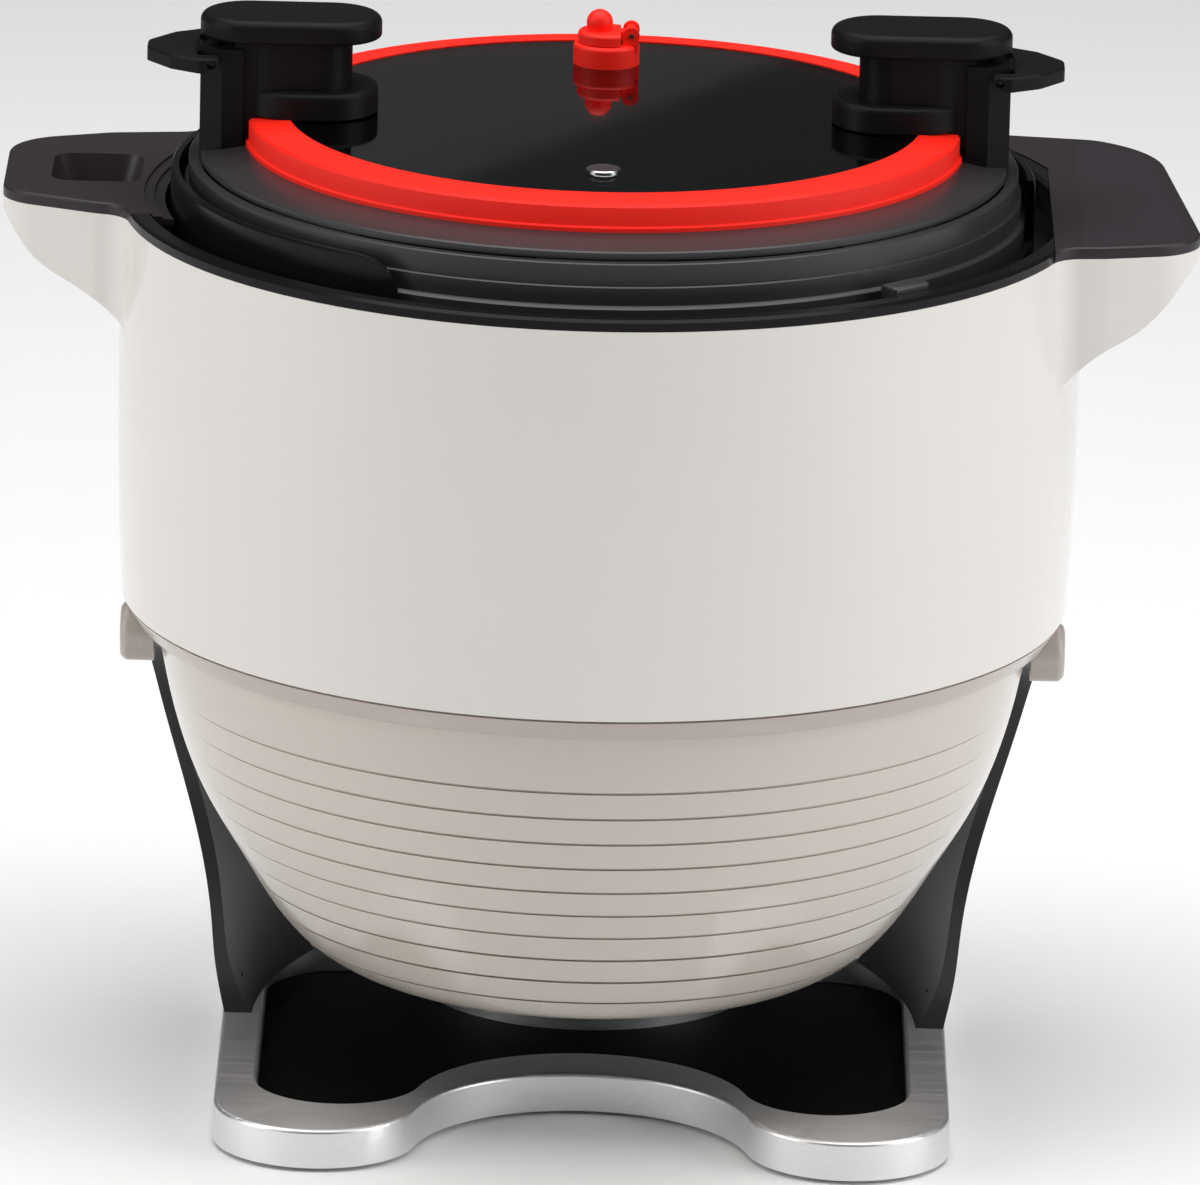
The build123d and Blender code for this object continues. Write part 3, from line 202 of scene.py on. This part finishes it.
def moulded_group():
    """Moulded skin: cloudy colour, uneven gloss and a very fine surface ripple."""
    group, source, sink = new_group(
        "moulded_skin",
        [("Vector", "NodeSocketVector", None), ("Colour", "NodeSocketColor", (0.8, 0.8, 0.8, 1.0)),
         ("Cloud", "NodeSocketFloat", 0.04), ("Gloss", "NodeSocketFloat", 0.2),
         ("Gloss Spread", "NodeSocketFloat", 0.05), ("Grain Size", "NodeSocketFloat", 900.0),
         ("Grain Height", "NodeSocketFloat", 0.05), ("Ripple Height", "NodeSocketFloat", 0.05)],
        [("Colour", "NodeSocketColor"), ("Roughness", "NodeSocketFloat"), ("Normal", "NodeSocketVector")])
    links = group.links
    cloud = add_node(group, "ShaderNodeTexNoise", Scale=9.0, Detail=3.0)
    links.new(source.outputs["Vector"], cloud.inputs["Vector"])
    centred = add_node(group, "ShaderNodeMath", operation="SUBTRACT")
    centred.inputs[1].default_value = 0.5
    links.new(cloud.outputs["Fac"], centred.inputs[0])
    swing = add_node(group, "ShaderNodeMath", operation="MULTIPLY_ADD")
    swing.inputs[2].default_value = 1.0
    links.new(centred.outputs[0], swing.inputs[0])
    links.new(source.outputs["Cloud"], swing.inputs[1])
    tinted = add_node(group, "ShaderNodeVectorMath", operation="SCALE")
    links.new(source.outputs["Colour"], tinted.inputs[0])
    links.new(swing.outputs[0], tinted.inputs["Scale"])
    links.new(tinted.outputs[0], sink.inputs["Colour"])
    patches = add_node(group, "ShaderNodeTexNoise", Scale=34.0, Detail=4.0)
    links.new(source.outputs["Vector"], patches.inputs["Vector"])
    uneven = add_node(group, "ShaderNodeMath", operation="SUBTRACT")
    uneven.inputs[1].default_value = 0.5
    links.new(patches.outputs["Fac"], uneven.inputs[0])
    rough = add_node(group, "ShaderNodeMath", operation="MULTIPLY_ADD")
    links.new(uneven.outputs[0], rough.inputs[0])
    links.new(source.outputs["Gloss Spread"], rough.inputs[1])
    links.new(source.outputs["Gloss"], rough.inputs[2])
    links.new(rough.outputs[0], sink.inputs["Roughness"])
    grain = add_node(group, "ShaderNodeTexNoise", Detail=2.0)
    links.new(source.outputs["Vector"], grain.inputs["Vector"])
    links.new(source.outputs["Grain Size"], grain.inputs["Scale"])
    ripple = add_node(group, "ShaderNodeTexNoise", Scale=60.0, Detail=1.0)
    links.new(source.outputs["Vector"], ripple.inputs["Vector"])
    broad = add_node(group, "ShaderNodeBump", Distance=0.0008)
    links.new(source.outputs["Ripple Height"], broad.inputs["Strength"])
    links.new(ripple.outputs["Fac"], broad.inputs["Height"])
    fine = add_node(group, "ShaderNodeBump", Distance=0.0002)
    links.new(source.outputs["Grain Height"], fine.inputs["Strength"])
    links.new(grain.outputs["Fac"], fine.inputs["Height"])
    links.new(broad.outputs["Normal"], fine.inputs["Normal"])
    links.new(fine.outputs["Normal"], sink.inputs["Normal"])
    return group


def brushed_group():
    """Brushed metal: streaks drawn along one direction of the piece."""
    group, source, sink = new_group(
        "brushed_metal",
        [("Vector", "NodeSocketVector", None), ("Colour", "NodeSocketColor", (0.7, 0.7, 0.7, 1.0)),
         ("Streak", "NodeSocketVector", (6.0, 900.0, 900.0)), ("Contrast", "NodeSocketFloat", 0.12),
         ("Gloss", "NodeSocketFloat", 0.3), ("Gloss Spread", "NodeSocketFloat", 0.2),
         ("Height", "NodeSocketFloat", 0.15)],
        [("Colour", "NodeSocketColor"), ("Roughness", "NodeSocketFloat"), ("Normal", "NodeSocketVector")])
    links = group.links
    drawn = add_node(group, "ShaderNodeVectorMath", operation="MULTIPLY")
    links.new(source.outputs["Vector"], drawn.inputs[0])
    links.new(source.outputs["Streak"], drawn.inputs[1])
    streaks = add_node(group, "ShaderNodeTexNoise", Scale=1.0, Detail=3.0)
    links.new(drawn.outputs[0], streaks.inputs["Vector"])
    centred = add_node(group, "ShaderNodeMath", operation="SUBTRACT")
    centred.inputs[1].default_value = 0.5
    links.new(streaks.outputs["Fac"], centred.inputs[0])
    swing = add_node(group, "ShaderNodeMath", operation="MULTIPLY_ADD")
    swing.inputs[2].default_value = 1.0
    links.new(centred.outputs[0], swing.inputs[0])
    links.new(source.outputs["Contrast"], swing.inputs[1])
    tinted = add_node(group, "ShaderNodeVectorMath", operation="SCALE")
    links.new(source.outputs["Colour"], tinted.inputs[0])
    links.new(swing.outputs[0], tinted.inputs["Scale"])
    links.new(tinted.outputs[0], sink.inputs["Colour"])
    rough = add_node(group, "ShaderNodeMath", operation="MULTIPLY_ADD")
    links.new(centred.outputs[0], rough.inputs[0])
    links.new(source.outputs["Gloss Spread"], rough.inputs[1])
    links.new(source.outputs["Gloss"], rough.inputs[2])
    links.new(rough.outputs[0], sink.inputs["Roughness"])
    scratch = add_node(group, "ShaderNodeBump", Distance=0.0002)
    links.new(source.outputs["Height"], scratch.inputs["Strength"])
    links.new(streaks.outputs["Fac"], scratch.inputs["Height"])
    links.new(scratch.outputs["Normal"], sink.inputs["Normal"])
    return group


MOULDED = moulded_group()
BRUSHED = brushed_group()


def blank_material(name):
    """Material with a Principled shader, its output and Object coordinates."""
    material = bpy.data.materials.new(name)
    material.use_nodes = True
    tree = material.node_tree
    shader = tree.nodes["Principled BSDF"]
    place = tree.nodes.new("ShaderNodeTexCoord")
    return material, tree, shader, place


def dressed(name, group, values, sockets):
    """Material whose colour, roughness and normal come from a skin group."""
    material, tree, shader, place = blank_material(name)
    skin = tree.nodes.new("ShaderNodeGroup")
    skin.node_tree = group
    for label, value in values.items():
        skin.inputs[label].default_value = value
    tree.links.new(place.outputs["Object"], skin.inputs["Vector"])
    tree.links.new(skin.outputs["Colour"], shader.inputs["Base Color"])
    tree.links.new(skin.outputs["Roughness"], shader.inputs["Roughness"])
    tree.links.new(skin.outputs["Normal"], shader.inputs["Normal"])
    for label, value in sockets.items():
        shader.inputs[label.replace("_", " ")].default_value = value
    return material


def moulded(name, colour, gloss, spread=0.05, cloud=0.04, grain=0.05, grain_size=900.0, ripple=0.03,
            **sockets):
    """Plastic, silicone or coating made with the moulded skin group."""
    values = {"Colour": (*colour, 1.0), "Cloud": cloud, "Gloss": gloss, "Gloss Spread": spread,
              "Grain Size": grain_size, "Grain Height": grain, "Ripple Height": ripple}
    return dressed(name, MOULDED, values, sockets)


def brushed(name, colour, gloss, streak, contrast=0.12, spread=0.2, height=0.15):
    """Metal made with the brushed group."""
    values = {"Colour": (*colour, 1.0), "Streak": streak, "Contrast": contrast, "Gloss": gloss,
              "Gloss Spread": spread, "Height": height}
    return dressed(name, BRUSHED, values, {"Metallic": 1.0})


def floor_paint():
    """Pale matte studio floor."""
    material, tree, shader, place = blank_material("floor_paint")
    mottle = add_node(tree, "ShaderNodeTexNoise", Scale=3.0, Detail=4.0)
    tree.links.new(place.outputs["Object"], mottle.inputs["Vector"])
    shade = tree.nodes.new("ShaderNodeValToRGB")
    shade.color_ramp.elements[0].color = (0.86, 0.86, 0.86, 1.0)
    shade.color_ramp.elements[1].color = (0.90, 0.90, 0.90, 1.0)
    tree.links.new(mottle.outputs["Fac"], shade.inputs["Fac"])
    tree.links.new(shade.outputs["Color"], shader.inputs["Base Color"])
    shader.inputs["Roughness"].default_value = 0.7
    return material


def dark_glass():
    """Smoked tempered glass, seen mostly as a dark mirror."""
    material, tree, shader, place = blank_material("smoked_glass")
    smear = add_node(tree, "ShaderNodeTexNoise", Scale=28.0, Detail=5.0)
    tree.links.new(place.outputs["Object"], smear.inputs["Vector"])
    rough = add_node(tree, "ShaderNodeMapRange")
    rough.inputs["To Min"].default_value = 0.015
    rough.inputs["To Max"].default_value = 0.06
    tree.links.new(smear.outputs["Fac"], rough.inputs["Value"])
    tree.links.new(rough.outputs["Result"], shader.inputs["Roughness"])
    shader.inputs["Base Color"].default_value = (0.20, 0.20, 0.22, 1.0)
    shader.inputs["Transmission Weight"].default_value = 1.0
    shader.inputs["IOR"].default_value = 1.5
    return material


# Streaks to the metre along X, Y and Z of a metal finish
ALONG_X = (14.0, 700.0, 900.0)
EVEN = (300.0, 300.0, 300.0)
CAST = (400.0, 400.0, 400.0)


def paints():
    """One finish for each of the record's material slots."""
    return {
        "aluminium": brushed("brushed_aluminium", (0.84, 0.84, 0.85), 0.42, ALONG_X),
        "arm_dark": moulded("arm_coat", (0.026, 0.026, 0.028), 0.45, grain=0.12, grain_size=1600.0,
                            Specular_IOR_Level=0.35),
        "floor_black": moulded("floor_plate_plastic", (0.0015, 0.0015, 0.0015), 0.7, grain=0.1,
                               Specular_IOR_Level=0.1),
        "foot_rubber": moulded("foot_rubber", (0.02, 0.02, 0.02), 0.8, grain=0.3),
        "cap_beige": moulded("pivot_cap_plastic", (0.46, 0.41, 0.375), 0.28),
        "shell_white": moulded("shell_gloss", (0.74, 0.705, 0.67), 0.13, spread=0.03, cloud=0.02, grain=0.01,
                               ripple=0.015, Coat_Weight=0.5, Coat_Roughness=0.04),
        "band_beige": moulded("band_gloss", (0.46, 0.405, 0.365), 0.22, cloud=0.02, grain=0.02),
        "bowl_white": moulded("bowl_gloss", (0.595, 0.545, 0.49), 0.2, cloud=0.03, grain=0.02, ripple=0.015,
                              Coat_Weight=0.3, Coat_Roughness=0.06),
        "collar_black": moulded("collar_gloss", (0.008, 0.007, 0.008), 0.2, cloud=0.1, grain=0.02,
                                Specular_IOR_Level=0.13),
        "cover_black": moulded("cover_satin", (0.023, 0.018, 0.022), 0.42, cloud=0.1, grain=0.06,
                               grain_size=1500.0, Specular_IOR_Level=0.35),
        "touch_film": moulded("touch_film", (0.027, 0.022, 0.027), 0.38, cloud=0.06, grain=0.04,
                              Specular_IOR_Level=0.35),
        "grip_black": moulded("grip_matte", (0.006, 0.006, 0.0065), 0.46, cloud=0.2, grain=0.10,
                              grain_size=1800.0, Specular_IOR_Level=0.12),
        "lock_black": moulded("lock_satin", (0.03, 0.028, 0.03), 0.34, cloud=0.1, grain=0.03),
        "seal_red": moulded("red_silicone", (1.0, 0.016, 0.006), 0.5, cloud=0.1, grain=0.05, ripple=0.05,
                            Specular_IOR_Level=0.3, Subsurface_Weight=0.08,
                            Subsurface_Radius=(0.004, 0.001, 0.0005), Subsurface_Scale=1.0),
        "gasket_grey": moulded("gasket_silicone", (0.42, 0.42, 0.41), 0.5),
        "dark_glass": dark_glass(),
        "steel": brushed("bright_steel", (0.60, 0.60, 0.61), 0.24, EVEN, contrast=0.05),
        "pot_coating": moulded("non_stick_coating", (0.03, 0.03, 0.032), 0.45, grain=0.25, grain_size=2400.0),
        "cast_plate": brushed("cast_aluminium", (0.45, 0.45, 0.45), 0.45, CAST, contrast=0.2),
        "brass": brushed("bush_brass", (0.62, 0.43, 0.18), 0.3, EVEN),
        "board_green": moulded("board_lacquer", (0.02, 0.12, 0.05), 0.3, cloud=0.3),
        "inner_plastic": moulded("inner_plastic", (0.03, 0.03, 0.03), 0.5, grain=0.1),
    }


FINISH = paints()


# ------------------------------------------------------------------ pieces

HIDDEN_NODES = {"control_board", "collar_screws", "trunnion_plates", "heating_element", "plate_standoffs",
                "sensor_spring", "thermal_fuse", "power_board", "lever_springs", "lid_screws"}


def dress_nodes():
    """Give every node its finish; those that show get smooth-shaded copies."""
    for node, original in frame["nodes"].items():
        paint = FINISH[slot_of_node(node)]
        original.data.materials.clear()
        original.data.materials.append(paint)
        if node not in HIDDEN_NODES:
            piece = finished(node)
            piece.data.materials.clear()
            piece.data.materials.append(paint)


add_camera()
add_studio()
dress_nodes()
